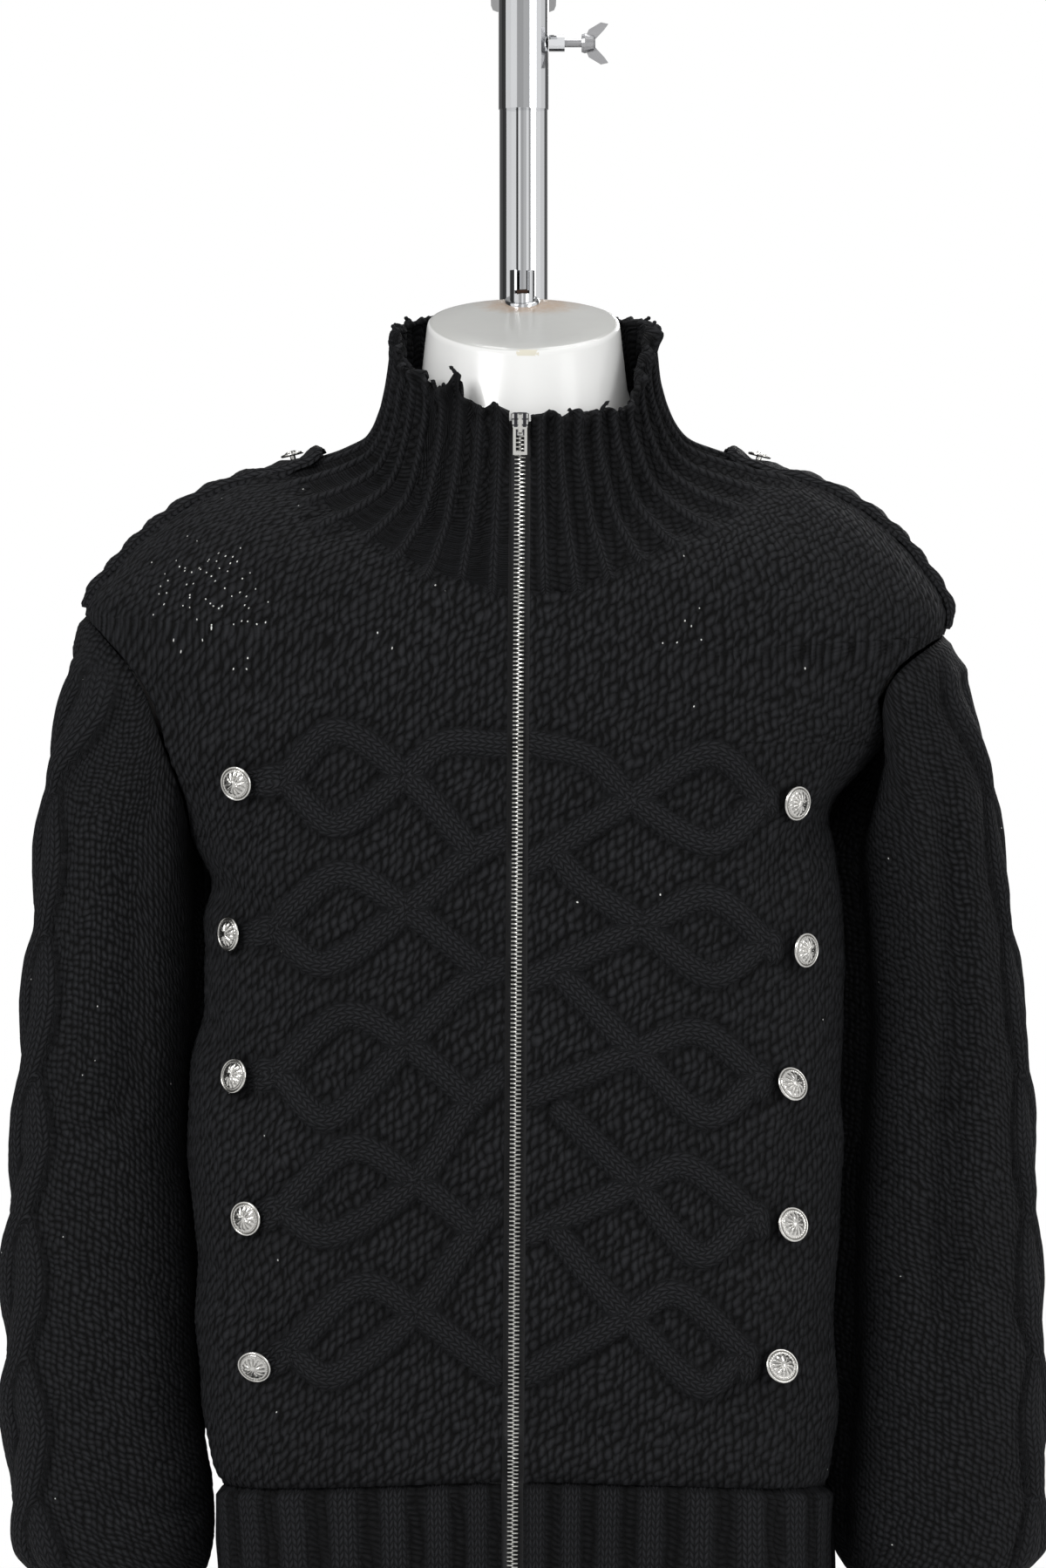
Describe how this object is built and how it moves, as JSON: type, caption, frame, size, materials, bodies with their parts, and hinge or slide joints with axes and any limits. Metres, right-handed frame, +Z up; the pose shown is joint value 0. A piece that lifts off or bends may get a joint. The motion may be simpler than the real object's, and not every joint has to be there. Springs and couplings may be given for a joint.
{
  "type": "napoleon jacket on a dress form stand",
  "caption": "Black knitted zip jacket with cable-knit frogging, ragged rib collar, shoulder straps and domed metal buttons, on a white torso form hung from a floor stand.",
  "frame": {"origin": "floor level, at the middle of the stand's base below the rod that carries the form", "axes": "+Z up along the rod; the jacket's zip faces -Y and the stand's column stands behind it at +Y; the jacket's left as it is looked at is -X"},
  "size_m": [0.6471, 0.451, 1.19],
  "materials": {
    "black_knit": "chunky moss-stitch and rib knit, matte",
    "zip_tape": "woven tape, matte",
    "nickel": "nickel plated, satin",
    "chrome": "polished",
    "white_gloss": "glossy white"
  },
  "bodies": {
    "stand": {"base": "chrome", "column": "chrome", "arm": "chrome", "sleeve_tube": "chrome", "bolt_boss": "chrome"},
    "wing_bolt": {"wing_bolt": "chrome"},
    "rod": {"rod": "chrome"},
    "jacket_on_form": {"front_left": "black_knit", "front_right": "black_knit", "back": "black_knit", "hem_front_left": "black_knit", "hem_front_right": "black_knit", "hem_back": "black_knit", "collar": "black_knit", "sleeve_left": "black_knit", "sleeve_right": "black_knit", "cuff_left": "black_knit", "cuff_right": "black_knit", "epaulette_left": "black_knit", "epaulette_right": "black_knit", "button_left_1": "nickel", "button_left_2": "nickel", "button_left_3": "nickel", "button_left_4": "nickel", "button_left_5": "nickel", "button_right_1": "nickel", "button_right_2": "nickel", "button_right_3": "nickel", "button_right_4": "nickel", "button_right_5": "nickel", "strap_button_left": "nickel", "strap_button_right": "nickel", "zip_tape_left": "zip_tape", "zip_tape_right": "zip_tape", "zip_teeth_left": "nickel", "zip_teeth_right": "nickel", "zip_slider": "nickel", "zip_bail": "nickel", "form": "white_gloss", "form_socket": "chrome"},
    "zip_pull": {"zip_pull": "nickel"}
  },
  "joints": [
    {"name": "rod_height", "type": "slide", "parent": "stand", "child": "rod", "axis": [0, 0, 1], "range_m": [-0.04, 0.045]},
    {"name": "form_turn", "type": "hinge", "parent": "rod", "child": "jacket_on_form", "pos_m": [0, 0, 0.95], "axis": [0, 0, 1], "range_deg": [-40, 40]},
    {"name": "wing_bolt_turn", "type": "hinge", "parent": "stand", "child": "wing_bolt", "pos_m": [0.02, 0, 1.104], "axis": [1, 0, 0], "range_deg": [0, 180]},
    {"name": "zip_pull_swing", "type": "hinge", "parent": "jacket_on_form", "child": "zip_pull", "pos_m": [-0.00207, -0.11263, 0.85989], "axis": [-1, 0, 0], "range_deg": [0, 150]}
  ]
}
